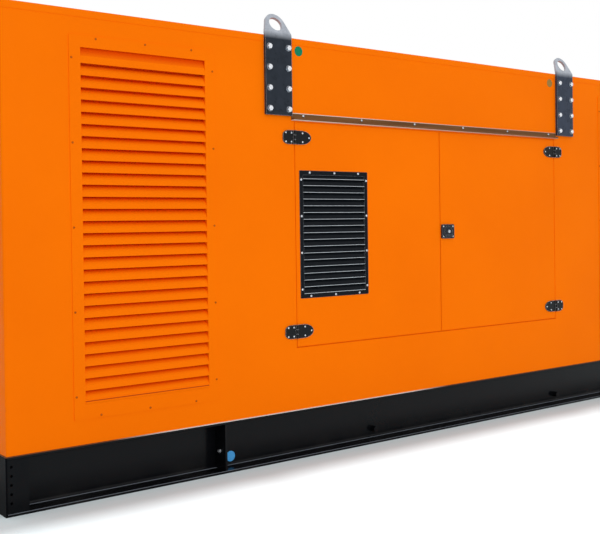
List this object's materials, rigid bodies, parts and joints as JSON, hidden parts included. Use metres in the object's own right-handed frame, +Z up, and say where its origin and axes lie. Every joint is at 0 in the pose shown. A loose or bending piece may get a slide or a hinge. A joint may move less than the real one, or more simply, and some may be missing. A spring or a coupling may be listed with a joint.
{
  "type": "standby diesel generator",
  "caption": "Long canopied standby generator on a black channel base, with louvres, hinged service doors, a door vent, drip rails and bolted lifting lugs.",
  "frame": {"origin": "centre of the underside of the base, on the ground", "axes": "+X along the length to the right as seen from the front, -Y to the front, +Z up"},
  "size_m": [5.436, 1.902, 2.41],
  "materials": {
    "canopy_orange": "satin orange powder coat",
    "base_black": "semi-gloss black paint",
    "lug_grey": "semi-gloss blue-grey paint",
    "rail_bronze": "glossy dark bronze paint",
    "acoustic_lining": "matt acoustic foam",
    "black_fittings": "satin black moulding",
    "vent_black": "semi-gloss black paint",
    "exhaust_steel": "heat-dulled steel",
    "engine_grey": "painted casting",
    "radiator_black": "matt black paint"
  },
  "bodies": {
    "canopy": {"base_front_rail": "base_black", "base_rear_rail": "base_black", "base_end_beams": "base_black", "base_tank": "base_black", "base_end_plates": "base_black", "front_left_wall": "canopy_orange", "front_right_wall": "canopy_orange", "front_header": "canopy_orange", "front_sill": "canopy_orange", "rear_left_wall": "canopy_orange", "rear_right_wall": "canopy_orange", "rear_header": "canopy_orange", "rear_sill": "canopy_orange", "left_end_wall": "canopy_orange", "right_end_wall": "canopy_orange", "roof": "canopy_orange", "rear_doors": "canopy_orange", "front_left_louvre": "canopy_orange", "front_right_louvre": "canopy_orange", "rear_left_louvre": "canopy_orange", "rear_right_louvre": "canopy_orange", "discharge_louvre": "canopy_orange", "rear_door_vent": "vent_black", "front_drip_rail": "rail_bronze", "rear_drip_rail": "rail_bronze", "front_hinge_frame_leaves": "black_fittings", "rear_hinges": "black_fittings", "rear_lock": "black_fittings", "lifting_lug_front_left": "lug_grey", "lifting_lug_front_right": "lug_grey", "lifting_lug_rear_left": "lug_grey", "lifting_lug_rear_right": "lug_grey", "exhaust_outlet": "exhaust_steel", "exhaust_pipe": "exhaust_steel", "engine": "engine_grey", "alternator": "engine_grey", "radiator": "radiator_black"},
    "left_door": {"front_left_door": "canopy_orange", "front_left_door_lining": "acoustic_lining", "front_door_vent": "vent_black", "front_left_door_leaves": "black_fittings"},
    "right_door": {"front_right_door": "canopy_orange", "front_right_door_lining": "acoustic_lining", "front_right_door_leaves": "black_fittings", "front_lock": "black_fittings"}
  },
  "joints": [
    {"name": "left_door_hinge", "type": "hinge", "parent": "canopy", "child": "left_door", "pos_m": [-1.11, -0.933, 1.206], "axis": [0, 0, -1], "range_deg": [0, 120]},
    {"name": "right_door_hinge", "type": "hinge", "parent": "canopy", "child": "right_door", "pos_m": [1.11, -0.933, 1.206], "axis": [0, 0, 1], "range_deg": [0, 120]}
  ]
}
